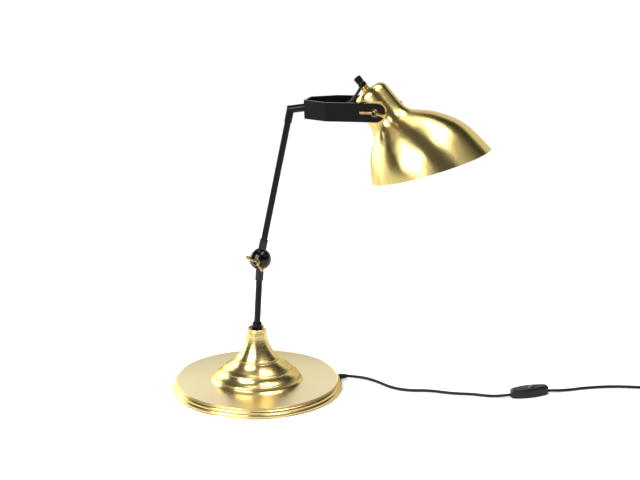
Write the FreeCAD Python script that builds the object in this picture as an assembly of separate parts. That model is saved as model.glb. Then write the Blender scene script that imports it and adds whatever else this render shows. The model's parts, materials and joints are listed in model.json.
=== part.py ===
"""Swing arm desk lamp: weighted spun-brass base, black jointed arm, yoke and a tilting brass shade.

Millimetres, +Z up, +X from the base towards the shade, origin at the centre of the base's underside.
Every sub-part is built in a simple local frame and then put in its place by place().
"""
import FreeCAD, Part
import math
import os

V = FreeCAD.Vector
X_AXIS = V(1, 0, 0)
Y_AXIS = V(0, 1, 0)
Z_AXIS = V(0, 0, 1)

# ---- base
BASE_R = 135.0
FACE_R = 129.0
FACE_Z = 15.0
SKIN = 1.2
FELT_T = 1.2
COVER_T = 1.5
WEIGHT_R = 112.0
WEIGHT_TOP = 12.0
COVER_R = 125.0
SCREW_CIRCLE_R = 84.0
HUB_R = 30.0
HUB_TOP = 30.0
SEAT_Z = 48.6
NECK_FOOT_R = 33.4
NECK_TOP_R = 15.2
CUP_Z = 96.5
CUP_T = 3.0
NIPPLE_R = 5.0
SLIDE_FIT = 0.05
GAP = 0.3

# ---- stem, knuckle and arm
PIVOT_Z = 99.0
STEM_LEAN = 3.5
STEM_LEN = 114.5
TUBE_R = 5.0
TUBE_BORE = 3.6
BALL_R = 17.3
SLOT = 7.0
TONGUE = 6.6
FERRULE_R = 6.5
FERRULE_FAR = 35.0
ARM_FERRULE_FAR = 33.0
SOCKET_DEPTH = 12.0
BOLT_R = 3.0
ARM_LEAN = 12.0
ARM_LEN = 244.2
ELBOW_R = 6.0
ELBOW_LEG = 20.0

# ---- yoke
YOKE_TILT = 2.0
YOKE_PIVOT = V(198.5, 0, 460.2)
YOKE_BACK = 114.0
YOKE_CORNER = 76.0
YOKE_HALF = 34.5
PLATE_HALF = 16.5
STRAP_T = 3.0
STRAP_H = 28.0
COLLAR_R = 6.7
COLLAR_T = 4.2
WASHER_T = 0.8

# ---- shade and lampholder
SHADE_TILT = 140.0
NECK_R = 29.3
SHADE_END = -34.0
SHADE_SKIN = 1.0
RIM_T = 108.5
RIM_SLANT = 22.0
BOSS_R = 16.5
WING_SPAN = 35.0
EAR_WING_SPAN = 41.0
WING_RISE = 0.38
WING_THICK = 3.2
KNUCKLE_WING_TURN = 37.0
EAR_WING_TURN = 8.0

# ---- supply cord, which lies on the floor
CORD_R = 2.3
CORD_LIE = 2.4
EXIT_TURN = 29.0
EXIT_Z = 6.0
EXIT_R = 147.0
SWITCH_AT = V(421.5, 88.5, 0)
SWITCH_TURN = 34.0
SWITCH_HALF = 31.0
SWITCH_TOP = 15.0
INLINE_SCREWS = [V(-20.0, 5.4, 0), V(20.0, -5.4, 0)]
COIL_AT = V(639, 131, 0)
COIL_R = 38.0
COIL_TURNS_WIDE = 3
COIL_PITCH = 4.8
COIL_TOP = 9.6
PLUG_AT = V(678, 82, 0)
PLUG_TURN = 260.0
RELIEF_LEN = 22.0
SUPPLY_ROUTE = [V(128.6, 71.3, EXIT_Z), V(150, 81, 3.1), V(176, 73, CORD_LIE), V(208, 51, CORD_LIE),
                V(238, 48, CORD_LIE), V(268, 58, CORD_LIE), V(304, 56, CORD_LIE), V(338, 63, CORD_LIE),
                V(369, 61.5, 2.6), V(397, 72, 5.0)]
OUTGOING_ROUTE = [V(446, 105, 5.0), V(472, 120, CORD_LIE), V(505, 143, CORD_LIE), V(545, 161, CORD_LIE),
                  V(590, 170, CORD_LIE), V(635, 173.6, CORD_LIE)]
TAIL_ROUTE = [V(681.8, 128, 7.2), V(683, 114, 6.4), V(681.1, 97.6, 5.6), V(678, 82, 6.5)]
HEAD_ROUTE = [V(90, 0, 456.4), V(114, 0, 457.3), V(140, 0, 460.5), V(157.5, 0, 472.5), V(167.3, 0, 491)]
HEAD_LEAD_R = 2.3


def place(shape, at, lean=0.0, turn=0.0):
    """The shape leaned about +Y, turned about +Z and moved so that its local origin is at the point."""
    moved = shape.copy()
    moved.rotate(V(0, 0, 0), Y_AXIS, lean)
    moved.rotate(V(0, 0, 0), Z_AXIS, turn)
    moved.translate(at)
    return moved


def along(origin, lean, distance):
    """The point that far from the origin along a line leaned from +Z towards +X."""
    angle = math.radians(lean)
    return origin + V(math.sin(angle), 0, math.cos(angle)) * distance


def lathe(start, *steps):
    """A solid of revolution about Z. A step is an (r, z) point, or a pair of them for an arc."""
    edges = []
    here = V(start[0], 0, start[1])
    for step in (*steps, start):
        if isinstance(step[0], tuple):
            middle = V(step[0][0], 0, step[0][1])
            end = V(step[1][0], 0, step[1][1])
            edges.append(Part.Arc(here, middle, end).toShape())
        else:
            end = V(step[0], 0, step[1])
            edges.append(Part.makeLine(here, end))
        here = end
    face = Part.Face(Part.Wire(edges))
    return face.revolve(V(0, 0, 0), Z_AXIS, 360)


def rod(radius, low, high, axis=Z_AXIS):
    """A cylinder along an axis through the local origin."""
    return Part.makeCylinder(radius, high - low, axis * low, axis)


def tube(outer, inner, low, high, axis=Z_AXIS):
    return rod(outer, low, high, axis).cut(rod(inner, low, high, axis))


def block(x, y, z):
    """A box between the limits given for each axis."""
    return Part.makeBox(x[1] - x[0], y[1] - y[0], z[1] - z[0], V(x[0], y[0], z[0]))


def hexagon(across_flats, low, high):
    radius = across_flats / 2 / math.cos(math.radians(30))
    corners = [V(radius * math.cos(math.radians(60 * i)), radius * math.sin(math.radians(60 * i)), low)
               for i in range(7)]
    return Part.Face(Part.makePolygon(corners)).extrude(Z_AXIS * (high - low))


def group(*solids):
    return Part.Compound(list(solids))


# ---------------------------------------------------------------- base
def base_shell():
    """The spun skin: stepped rings in the middle, a flat face, and a banded rim."""
    outside = [((34.2, 48.3), (34.6, 47.4)), ((41.8, 39.4), (53.0, 34.2)), ((53.9, 33.6), (54.2, 32.6)),
               (54.2, 31.2), ((59.0, 25.4), (65.6, 22.6)), ((66.5, 22.0), (66.8, 21.0)), (66.8, 19.8),
               ((69.2, 15.2), (74.5, 13.4)), (127.8, 14.6), ((128.4, 15.0), (FACE_R, 14.4)),
               (128.0, 13.6), (128.0, 12.0), ((131.6, 11.0), (132.6, 7.4)), (132.3, 6.9), (133.2, 6.4),
               ((134.5, 4.8), (134.8, 2.0)), (134.3, 1.6), (BASE_R, 1.1), (BASE_R, 0.6)]
    inside = [(133.4, 0.6), (130.8, 6.4), (126.6, 12.4), (74.0, 12.1), (65.4, 18.6), (64.6, 21.4),
              (53.0, 29.0), (52.4, 32.6), (34.0, 44.6), (32.6, SEAT_Z - SKIN), (6.4, SEAT_Z - SKIN)]
    shell = lathe((6.4, SEAT_Z), (NECK_FOOT_R, SEAT_Z), *outside, *inside)
    exit_hole = rod(4.2, BASE_R - 12, BASE_R + 5, X_AXIS)
    return shell.cut(place(exit_hole, V(0, 0, EXIT_Z), turn=EXIT_TURN))


def base_weight():
    """A cast disc and hub that fill the shell, slotted for the lead."""
    disc = lathe((9.2, 3.0), (WEIGHT_R, 3.0), (WEIGHT_R, WEIGHT_TOP - 1.5), (WEIGHT_R - 2, WEIGHT_TOP),
                 (HUB_R + 10, WEIGHT_TOP), (HUB_R, HUB_TOP), (7.0, HUB_TOP), (7.0, 9.4), (9.2, 9.4))
    slot = block((0, WEIGHT_R + 5), (-4, 4), (0, 9.5))
    bores = [rod(1.6, 0, WEIGHT_TOP).translated(centre) for centre in cover_screw_centres()]
    return disc.cut([place(slot, V(0, 0, 0), turn=EXIT_TURN), *bores])


def cover_screw_centres():
    angles = [math.radians(90 + 120 * i) for i in range(3)]
    return [V(SCREW_CIRCLE_R * math.cos(angle), SCREW_CIRCLE_R * math.sin(angle), 0) for angle in angles]


def base_cover():
    cover = tube(COVER_R, 9.0, FELT_T, FELT_T + COVER_T)
    return cover.cut([rod(2.0, 0, 5).translated(centre) for centre in cover_screw_centres()])


def cover_screws():
    """Three screws that hold the cover to the weight, with heads under the felt."""
    screw = rod(1.55, FELT_T + 0.1, 11.0).fuse(rod(1.95, FELT_T + 0.1, FELT_T + COVER_T))
    return group(*[screw.translated(centre) for centre in cover_screw_centres()])


def base_neck():
    """The trumpet-shaped neck that stands on the shell's middle ring."""
    return lathe((11.0, CUP_Z), (NECK_TOP_R, CUP_Z), (NECK_TOP_R, 95.0), (14.7, 94.2), (15.1, 93.0),
                 ((20.0, 71.5), (32.2, 52.2)), ((33.2, 51.4), (NECK_FOOT_R, 50.4)), (NECK_FOOT_R, SEAT_Z),
                 (31.0, SEAT_Z), (30.4, 50.6), ((18.6, 71.0), (13.4, 92.0)), (11.0, 93.5))


def neck_cup():
    """The dished washer in the neck's mouth, which the stem's collar turns in."""
    top = CUP_Z + CUP_T
    return lathe((10.0, CUP_Z), (14.9, CUP_Z), (14.9, top - 0.5), ((14.6, top), (13.9, top)),
                 (12.6, CUP_Z + 0.9), (10.0, CUP_Z + 0.7))


def neck_bush():
    """The bush under the cup, bored along the stem's axis."""
    body = lathe((0, 80.0), (9.0, 80.0), (9.0, 93.0), (10.9, 93.6), (10.9, CUP_Z - 0.1), (0, CUP_Z - 0.1))
    bore = place(rod(NIPPLE_R + SLIDE_FIT, -30, 10), V(0, 0, PIVOT_Z), STEM_LEAN)
    return body.cut(bore)


def tie_rod():
    """The threaded tube that pulls weight, shell, neck and bush together."""
    return tube(4.9, 3.4, 4.0, 70.0).fuse(lathe((3.4, 70.0), (8.4, 70.0), (8.4, 79.9), (3.4, 79.9)))


def tie_nuts():
    """A nut on the weight's underside and one on its hub."""
    low = hexagon(13.0, 4.2, 9.0).cut(rod(4.95, 0, 20))
    high = hexagon(15.0, HUB_TOP, HUB_TOP + 5).cut(rod(4.95, 20, 40))
    return group(low, high)


def cord_grommet():
    """The tapered rubber sleeve in the rim, 21 mm long."""
    bore = CORD_R + 0.05
    sleeve = lathe((bore, 125.6), (4.8, 125.6), (4.8, 127.4), (4.1, 128.0), (4.1, 135.3), (4.7, 135.6),
                   (4.5, 136.8), (3.1, EXIT_R), (bore, EXIT_R))
    sleeve.rotate(V(0, 0, 0), Y_AXIS, 90)
    return place(sleeve, V(0, 0, EXIT_Z), turn=EXIT_TURN)


def base_lead():
    """The lead inside the base, from the grommet to the middle."""
    return place(rod(CORD_R, 9, EXIT_R - 0.05, X_AXIS), V(0, 0, EXIT_Z), turn=EXIT_TURN)


def lead_clamp():
    """The saddle that holds the lead in the weight's slot."""
    room = CORD_R + 0.1
    saddle = block((60, 68), (-3.9, 3.9), (3.1, 9.4))
    saddle = saddle.cut(block((60, 68), (-room, room), (3.0, EXIT_Z + room)))
    return place(saddle, V(0, 0, 0), turn=EXIT_TURN)


# ---------------------------------------------------------------- stem, knuckle and arm
def stem_collar():
    """The black rounded collar that turns in the cup, with the spigot that runs in the bush."""
    socket = TUBE_R + 0.02
    return lathe((TUBE_BORE, -17.0), (NIPPLE_R, -17.0), (NIPPLE_R, -1.3), (9.0, -1.3), (9.0, 0.4), (7.6, 0.4),
                 (7.6, 6.0), ((7.3, 8.6), (5.8, 10.6)), (socket, 11.0), (socket, 3.0), (TUBE_BORE, 3.0))


def stem_tube():
    return tube(TUBE_R, TUBE_BORE, 3.0, STEM_LEN - FERRULE_FAR + SOCKET_DEPTH)


def ferrule(far):
    """A socket for a tube, reaching from near the ball's centre out to the given distance."""
    sleeve = lathe((0, 9.0), (FERRULE_R, 9.0), (FERRULE_R, far - 2.0),
                   ((6.3, far - 0.6), (TUBE_R + 0.1, far)),
                   (0, far))
    return sleeve.cut(rod(TUBE_R + 0.02, far - SOCKET_DEPTH, far)).cut(rod(TUBE_BORE, BALL_R + 1.2, far))


def knuckle_fork():
    """The ball's two cheeks, joined below the tongue by the stem's ferrule; local +Z points at the stem."""
    slot = rod(BALL_R + 0.4, -SLOT / 2, SLOT / 2, Y_AXIS)
    slot = slot.fuse(block((-40, 40), (-SLOT / 2, SLOT / 2), (-40, 0)))
    body = Part.makeSphere(BALL_R).fuse(ferrule(FERRULE_FAR)).cut(slot)
    seats = [rod(5.8, -BALL_R - 1, -BALL_R + 2.4, Y_AXIS), rod(5.8, BALL_R - 2.4, BALL_R + 1, Y_AXIS)]
    bore = rod(BOLT_R + 0.02, -BALL_R - 1, BALL_R + 1, Y_AXIS)
    return body.cut([*seats, bore])


def knuckle_tongue():
    """The middle slice of the ball and the arm's ferrule; local +Z points along the arm."""
    disc = Part.makeSphere(BALL_R - 0.1)
    neck = rod(FERRULE_R, 0, 20)
    slab = block((-40, 40), (-TONGUE / 2, TONGUE / 2), (-40, BALL_R + 1.2))
    body = disc.fuse(neck).common(slab)
    socket = ferrule(ARM_FERRULE_FAR).common(block((-40, 40), (-40, 40), (BALL_R + 0.7, 60)))
    return body.fuse(socket).cut(rod(BOLT_R + SLIDE_FIT, -10, 10, Y_AXIS))


def knuckle_bolt():
    """A pan-headed bolt through the ball; its head is at the far side and its thread at the near side."""
    head = lathe((0, 0.1), (5.2, 0.1), (5.2, 1.6), ((3.9, 3.1), (0, 3.6)))
    head = head.cut(block((-6, 6), (-0.6, 0.6), (2.2, 5)))
    head.rotate(V(0, 0, 0), X_AXIS, -90)
    head.translate(V(0, BALL_R - 2.4, 0))
    return head.fuse(rod(BOLT_R, -BALL_R - 6.0, BALL_R - 2.2, Y_AXIS))


def knuckle_washer():
    return tube(5.6, BOLT_R + 0.05, -BALL_R + 0.9, -BALL_R + 2.35, Y_AXIS)


def wing_nut(span, turn):
    """A wing nut on the local Y axis, its seat at y = 0 and its wings towards -Y."""
    hub = lathe((0, 0), (5.4, 0), (5.4, 1.2), (4.9, 1.8), ((4.5, 5.0), (4.0, 7.6)), ((3.4, 8.4), (0, 8.6)))
    half = span / 2
    tip = span * WING_RISE
    wing_points = [V(1, 0, 1.2), V(half * 0.55, 0, tip * 0.18), V(half * 0.91, 0, tip * 0.50),
                   V(half, 0, tip * 0.80), V(half * 0.90, 0, tip), V(half * 0.70, 0, tip * 0.92),
                   V(half * 0.42, 0, tip * 0.62), V(1, 0, 6.8)]
    spline = Part.BSplineCurve()
    spline.interpolate(wing_points)
    outline = Part.Wire([spline.toShape(), Part.makeLine(wing_points[-1], wing_points[0])])
    wing = Part.Face(outline).extrude(Y_AXIS * WING_THICK)
    wing.translate(V(0, -WING_THICK / 2, 0))
    rims = [e for e in wing.Edges if abs(e.BoundBox.YLength) < 0.01 and e.BoundBox.XLength > 5]
    wing = wing.makeFillet(WING_THICK * 0.3, rims)
    other = wing.copy()
    other.rotate(V(0, 0, 0), Z_AXIS, 180)
    nut = hub.fuse([wing, other]).cut(rod(BOLT_R + SLIDE_FIT, -1, 20))
    nut.rotate(V(0, 0, 0), Z_AXIS, turn)
    nut.rotate(V(0, 0, 0), X_AXIS, 90)
    return nut


def arm_tube():
    return tube(TUBE_R, TUBE_BORE, ARM_FERRULE_FAR - SOCKET_DEPTH, ARM_LEN - 8.0)


def elbow(corner, face_at):
    """Two short tubes mitred together, from the arm's end to the face that the yoke is clamped to."""
    leg = face_at - corner
    bend = math.degrees(math.atan2(leg.z, leg.x))
    lower = place(rod(ELBOW_R, -ELBOW_LEG, 14), corner, ARM_LEAN)
    upper = place(rod(ELBOW_R, -14, leg.Length + 3), corner, 90 - bend)
    mitre_turn = (ARM_LEAN + 90 - bend) / 2
    above = place(block((-40, 40), (-20, 20), (0, 40)), corner, mitre_turn)
    below = place(block((-40, 40), (-20, 20), (-40, 0)), corner, mitre_turn)
    body = lower.cut(above).fuse(upper.cut(below))
    square_end = place(block((0, 20), (-20, 20), (-20, 20)), face_at, -YOKE_TILT)
    sockets = [place(rod(TUBE_R + 0.02, -ELBOW_LEG - 1, -7.9), corner, ARM_LEAN),
               place(rod(TUBE_BORE, -ELBOW_LEG, 1), corner, ARM_LEAN),
               place(rod(TUBE_BORE, -1, leg.Length + 4), corner, 90 - bend)]
    return body.cut([square_end, *sockets]).removeSplitter()


# ------------------------------------------------- yoke: local +X along its arms, origin on the pivot
def yoke_strap():
    outer = [V(-YOKE_BACK, -PLATE_HALF, 0), V(-YOKE_CORNER, -YOKE_HALF, 0), V(0, -YOKE_HALF, 0),
             V(0, -YOKE_HALF + STRAP_T, 0), V(-YOKE_CORNER + 0.7, -YOKE_HALF + STRAP_T, 0),
             V(-YOKE_BACK + STRAP_T, -PLATE_HALF + 1.9, 0)]
    mirror = [V(p.x, -p.y, 0) for p in reversed(outer)]
    face = Part.Face(Part.makePolygon([*outer, *mirror, outer[0]]))
    strap = face.extrude(Z_AXIS * STRAP_H)
    strap.translate(V(0, 0, -STRAP_H / 2))
    ears = [rod(STRAP_H / 2, low, low + STRAP_T, Y_AXIS) for low in (-YOKE_HALF, YOKE_HALF - STRAP_T)]
    strap = strap.fuse(ears).removeSplitter()
    pivot_hole = rod(BOLT_R + SLIDE_FIT, -50, 50, Y_AXIS)
    nipple_hole = rod(NIPPLE_R + SLIDE_FIT, -YOKE_BACK - 5, -YOKE_BACK + 10, X_AXIS)
    return strap.cut([pivot_hole, nipple_hole])


def yoke_collar():
    """The round collar between the elbow's face and the yoke's back."""
    end = -YOKE_BACK - WASHER_T
    return tube(COLLAR_R, NIPPLE_R + 0.02, end - COLLAR_T, end - 0.05, X_AXIS)


def yoke_nipple():
    """The hollow threaded stud through elbow, collar and yoke."""
    return tube(NIPPLE_R, 3.4, -YOKE_BACK - WASHER_T - COLLAR_T + 0.02, -YOKE_BACK + 13.0, X_AXIS)


def yoke_washers():
    """A fibre washer each side of the yoke's back."""
    front = -YOKE_BACK + STRAP_T
    outer = tube(COLLAR_R + 0.6, NIPPLE_R + 0.02, -YOKE_BACK - WASHER_T, -YOKE_BACK - 0.1, X_AXIS)
    inner = tube(COLLAR_R + 0.6, NIPPLE_R + 0.02, front + 0.1, front + WASHER_T, X_AXIS)
    return group(outer, inner)


def yoke_nut():
    nut = hexagon(14.0, 0, 5.0).cut(rod(NIPPLE_R + 0.02, -1, 6))
    nut.rotate(V(0, 0, 0), Y_AXIS, 90)
    nut.translate(V(-YOKE_BACK + STRAP_T + WASHER_T + 0.05, 0, 0))
    return nut


def nipple_bushing():
    """The plastic bushing that keeps the lead off the stud's edge."""
    end = -YOKE_BACK + 13.0
    bore = HEAD_LEAD_R + 0.45
    return tube(4.6, bore, end + 0.05, end + 1.6, X_AXIS).fuse(tube(3.35, bore, end - 7.0, end + 0.2, X_AXIS))


# ------------------------------------------------- shade: local +Z along its axis, origin on the pivot
def shade_line(inset):
    """Half of the shade's section, moved inwards by the inset: dome, straight neck, hollow curve and bell."""
    r = NECK_R - inset
    end = SHADE_END + inset
    slope = inset * 0.7
    bell = [V(r - 0.2, 0, 8), V(r + 1.2, 0, 18.5), V(34.2 - inset, 0, 26.4), V(41.5 - slope, 0, 33.4 + slope),
            V(51.2 - slope, 0, 42.0 + slope), V(60.0 - slope, 0, 51.2 + slope),
            V(68.4 - slope, 0, 62.4 + slope),
            V(76.6 - inset, 0, 75.5), V(83.2 - inset, 0, 90.4), V(87.0 - inset, 0, 106.0),
            V(89.6 - inset, 0, 126.0), V(92.4 - inset, 0, 152.0)]
    curve = Part.BSplineCurve()
    curve.interpolate(bell)
    shoulder = 12.5 - inset
    corner = V(r - 1.0 - shoulder, 0, end + shoulder)
    bulge = shoulder * math.sqrt(0.5)
    dome = Part.Arc(V(corner.x, 0, end), V(corner.x + bulge, 0, corner.z - bulge),
                    V(corner.x + shoulder, 0, corner.z))
    return [Part.makeLine(V(0, 0, end), V(corner.x, 0, end)), dome.toShape(),
            Part.makeLine(V(corner.x + shoulder, 0, corner.z), bell[0]), curve.toShape()]


def shade_solid(inset):
    """The shade's outline filled in, longer than the bell so that the rim can be cut on a slant."""
    line = shade_line(inset)
    last = line[-1].Vertexes[-1].Point
    close = [Part.makeLine(last, V(0, 0, last.z)), Part.makeLine(V(0, 0, last.z), V(0, 0, SHADE_END + inset))]
    return Part.Face(Part.Wire([*line, *close])).revolve(V(0, 0, 0), Z_AXIS, 360)


def shade_shell():
    cutter = block((-200, 200), (-200, 200), (0, 200))
    cutter.rotate(V(0, 0, 0), Y_AXIS, RIM_SLANT)
    cutter.translate(V(0, 0, RIM_T))
    bores = [rod(BOLT_R + 0.02, -40, 40, Y_AXIS), rod(4.0, SHADE_END - 5, SHADE_END + 10)]
    return shade_solid(0).cut(shade_solid(SHADE_SKIN)).cut([cutter, *bores])


def pivot_bosses():
    """The brass rings that fill the space between neck and yoke."""
    ring = tube(BOSS_R, BOLT_R + 0.02, 24.0, YOKE_HALF - STRAP_T - GAP, Y_AXIS)
    other = tube(BOSS_R, BOLT_R + 0.02, -YOKE_HALF + STRAP_T + GAP, -24.0, Y_AXIS)
    fill = shade_solid(-0.02)
    return group(ring.cut(fill), other.cut(fill))


def pivot_studs():
    """The two studs, with heads inside the neck, that carry the shade in the yoke's ears."""
    stud = rod(5.0, 23.4, 26.4, Y_AXIS).fuse(rod(BOLT_R, 26.0, YOKE_HALF + 8.2, Y_AXIS))
    return group(stud, stud.mirror(V(0, 0, 0), Y_AXIS))


def ear_washers():
    washer = tube(7.0, BOLT_R + 0.05, YOKE_HALF + 0.1, YOKE_HALF + 1.2, Y_AXIS)
    return group(washer, washer.mirror(V(0, 0, 0), Y_AXIS))


def lampholder_cap():
    """The holder's domed back, threaded onto the collar's tube."""
    return lathe((4.6, -26.0), (8.0, -26.0), ((17.5, -23.5), (20.0, -14.0)), (20.0, -9.0), (18.6, -9.0),
                 ((16.4, -22.0), (8.0, -24.4)), (4.6, -24.4))


def lampholder_skirt():
    """The black sleeve with its mouth towards the bulb."""
    return lathe((15.0, -8.9), (20.0, -8.9), (20.0, -6.0), (19.2, -5.0), (18.4, 17.0), (17.4, 18.0),
                 (15.0, 18.0))


def lampholder_ring():
    """The threaded ring that holds the sleeve to the shade's neck."""
    ring = lathe((20.1, -8.0), (23.0, -8.0), (23.0, -4.0), (20.1, -4.0))
    grip = rod(1.2, -9, -3).translated(V(23.2, 0, 0))
    return ring.cut([place(grip, V(0, 0, 0), turn=30 * i) for i in range(12)])


def lampholder_insulator():
    """The ceramic disc that carries the contacts."""
    return lathe((0, -20.0), (12.0, -20.0), (14.5, -16.0), (14.5, -10.5), (0, -10.5))


def contact_tongue():
    return block((-3, 3), (-2, 2), (-10.4, -8.7))


def bulb_cap():
    """The bulb's threaded metal cap."""
    steps = []
    for i in range(5):
        z = -4.0 + 4.0 * i
        steps += [((13.4, z + 1.0), (12.6, z + 2.0)), ((12.2, z + 3.0), (12.6, z + 4.0))]
    return lathe((0, -8.5), (4.5, -8.5), (6.0, -7.0), (11.0, -6.0), (12.6, -4.0), *steps, (12.6, 17.5),
                 (0, 17.5))


def bulb_glass():
    """The pear-shaped bulb, a solid of revolution with a smooth side."""
    side = Part.BSplineCurve()
    side.interpolate([V(12.4, 0, 17.6), V(13.4, 0, 25), V(16.4, 0, 33), V(21.8, 0, 42), V(27.4, 0, 51.5),
                      V(29.6, 0, 63), V(27.2, 0, 76), V(20.6, 0, 87), V(11.4, 0, 94.8), V(2.0, 0, 98)])
    low = V(0, 0, 17.6)
    high = V(0, 0, 98)
    edges = [Part.makeLine(low, side.StartPoint), side.toShape(), Part.makeLine(side.EndPoint, high),
             Part.makeLine(high, low)]
    return Part.Face(Part.Wire(edges)).revolve(V(0, 0, 0), Z_AXIS, 360)


def switch_collar():
    """The brass collar on the shade's end that holds the switch."""
    seat = SHADE_END - 0.02
    return lathe((0, -24.3), (3.9, -24.3), (3.9, seat), (6.6, seat), (6.6, -36.0), (5.6, -37.0), (5.6, -40.0),
                 (6.2, -41.0), (0, -41.0))


def switch_body():
    """The black switch barrel and its spindle."""
    return lathe((0, -41.05), (5.8, -41.05), (6.2, -42.0), (6.2, -47.5), (5.4, -49.0), (2.0, -49.0),
                 (2.0, -53.0), (0, -53.0))


def switch_knob():
    """The ribbed turning knob at the end of the barrel."""
    knob = lathe((2.0 + SLIDE_FIT, -49.2), (5.0, -49.2), (5.7, -50.2), (5.7, -57.8), (4.8, -59.2), (0, -59.6),
                 (0, -53.4), (2.0 + SLIDE_FIT, -53.4))
    flute = rod(0.75, -60, -51.2).translated(V(6.0, 0, 0))
    return knob.cut([place(flute, V(0, 0, 0), turn=24 * i) for i in range(15)])


# ---------------------------------------------------------------- cords
def rounded_route(points, name):
    """Straight runs joined by tangent arcs, each as large as its two runs allow."""
    edges = []
    start = points[0]
    smallest = math.inf
    for before, corner, after in zip(points, points[1:], points[2:]):
        into = corner - before
        out = after - corner
        half = into.getAngle(out) / 2
        cut = 0.45 * min(into.Length, out.Length)
        radius = cut / math.tan(half)
        smallest = min(smallest, radius)
        into.normalize()
        out.normalize()
        first = corner - into * cut
        last = corner + out * cut
        inward = (out - into).normalize()
        middle = corner + inward * (radius / math.cos(half) - radius)
        edges.append(Part.LineSegment(start, first).toShape())
        edges.append(Part.Arc(first, middle, last).toShape())
        start = last
    edges.append(Part.LineSegment(start, points[-1]).toShape())
    print(name, "smallest radius", round(smallest, 1))
    return Part.Wire(edges)


def cord_tube(points, radius, name):
    path = rounded_route(points, name)
    ring = Part.Wire(Part.makeCircle(radius, points[0], points[1] - points[0]))
    solid = path.makePipeShell([ring], True, False)
    print(name, "length", round(path.Length, 1), "volume ratio",
          round(solid.Volume / (math.pi * radius * radius * path.Length), 4))
    return solid


def cord_coil():
    """The outer shape of the tied coil."""
    half = COIL_TURNS_WIDE * COIL_PITCH / 2
    inner = COIL_R - half
    outer = COIL_R + half
    ring = lathe((inner, 1.2), (inner + 1.2, 0), (outer - 1.2, 0), (outer, 1.2), (outer, COIL_TOP - 1.2),
                 (outer - 1.2, COIL_TOP), (inner + 1.2, COIL_TOP), (inner, COIL_TOP - 1.2))
    return place(ring, COIL_AT)


def coil_tie():
    """The strap round the coil's bundle."""
    half = COIL_TURNS_WIDE * COIL_PITCH / 2
    outer = block((-half - 1.0, half + 1.3), (-3, 3), (0, COIL_TOP + 1.1))
    inner = block((-half - 0.05, half + 0.3), (-4, 4), (-1, COIL_TOP + 0.05))
    return place(outer.cut(inner), COIL_AT + V(-COIL_R, 0, 0))


# ---- inline switch: local +X along the cord, on the floor
def switch_outline(half_length, half_width, low, high):
    """A stadium-shaped block with ends drawn in to the cord."""
    nose = half_length - 3.0
    points = [V(-half_length, -4.0, low), V(-nose, -6.4, low)]
    side = Part.Arc(points[-1], V(0, -half_width, low), V(nose, -6.4, low)).toShape()
    far = [V(half_length, -4.0, low), V(half_length, 4.0, low), V(nose, 6.4, low)]
    back = Part.Arc(far[-1], V(0, half_width, low), V(-nose, 6.4, low)).toShape()
    edges = [Part.makeLine(points[0], points[1]), side, Part.makeLine(V(nose, -6.4, low), far[0]),
             Part.makeLine(far[0], far[1]), Part.makeLine(far[1], far[2]), back,
             Part.makeLine(V(-nose, 6.4, low), V(-half_length, 4.0, low)),
             Part.makeLine(V(-half_length, 4.0, low), points[0])]
    return Part.Face(Part.Wire(edges)).extrude(Z_AXIS * (high - low))


def rim_edges(solid, z):
    return [e for e in solid.Edges if abs(e.BoundBox.ZMin - z) < 0.01 and abs(e.BoundBox.ZMax - z) < 0.01]


def cord_channel():
    return rod(CORD_R, -SWITCH_HALF - 1, SWITCH_HALF + 1, X_AXIS).translated(V(0, 0, 5.0))


def inline_base():
    body = switch_outline(SWITCH_HALF, 11.0, 0.0, 5.0)
    body = body.makeFillet(1.4, rim_edges(body, 0.0))
    bores = [rod(1.25, 0, 6).fuse(rod(2.2, 0, 2.3)).translated(centre) for centre in INLINE_SCREWS]
    return body.cut([cord_channel(), *bores])


def inline_cover():
    body = switch_outline(SWITCH_HALF, 11.0, 5.1, SWITCH_TOP)
    body = body.makeFillet(4.0, rim_edges(body, SWITCH_TOP))
    window = block((-3.2, 9.2), (-3.9, 3.9), (8.0, 20))
    bores = [rod(1.25, 5, 9.1).translated(centre) for centre in INLINE_SCREWS]
    return body.cut([window, cord_channel(), *bores])


def inline_rocker():
    """The rocker, which tips about a short pin across the cover's window."""
    rocker = lathe((0, -3.5), (5.6, -3.5), (5.6, 3.5), (0, 3.5))
    rocker.rotate(V(0, 0, 0), X_AXIS, 90)
    rocker = rocker.common(block((-5.6, 5.6), (-4, 4), (-1.6, 5.6)))
    rocker.rotate(V(0, 0, 0), Y_AXIS, -6)
    return rocker.translated(V(3.0, 0, 10.8))


def inline_screws():
    """The two screws under the switch that close its halves."""
    screw = rod(1.2, 1.0, 9.0).fuse(rod(2.1, 0.9, 2.2))
    return group(*[screw.translated(centre) for centre in INLINE_SCREWS])


# ---- plug: local +X towards the pins, on the floor
def plug_body():
    """A slim two-pin plug body with a waist for the fingers."""
    profile = [V(0, -4.5, 0), V(9, -8.5, 0), V(18, -11.0, 0), V(27, -12.8, 0), V(34, -13.0, 0)]
    upper = Part.BSplineCurve()
    upper.interpolate(profile)
    mirrored = [V(p.x, -p.y, 0) for p in reversed(profile)]
    lower = Part.BSplineCurve()
    lower.interpolate(mirrored)
    face = Part.Face(Part.Wire([upper.toShape(), Part.makeLine(profile[-1], mirrored[0]), lower.toShape(),
                                Part.makeLine(mirrored[-1], profile[0])]))
    body = face.extrude(Z_AXIS * 13.0)
    return body.makeFillet(3.0, rim_edges(body, 0.0) + rim_edges(body, 13.0))


def plug_relief():
    """The tapered sleeve between cord and plug, 22 mm long."""
    length = RELIEF_LEN - 0.1
    sleeve = lathe((CORD_R + 0.02, 0), (3.3, 0), (4.4, length), (CORD_R + 0.02, length))
    sleeve.rotate(V(0, 0, 0), Y_AXIS, 90)
    return sleeve.translated(V(0.05 - RELIEF_LEN, 0, 6.5))


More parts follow.
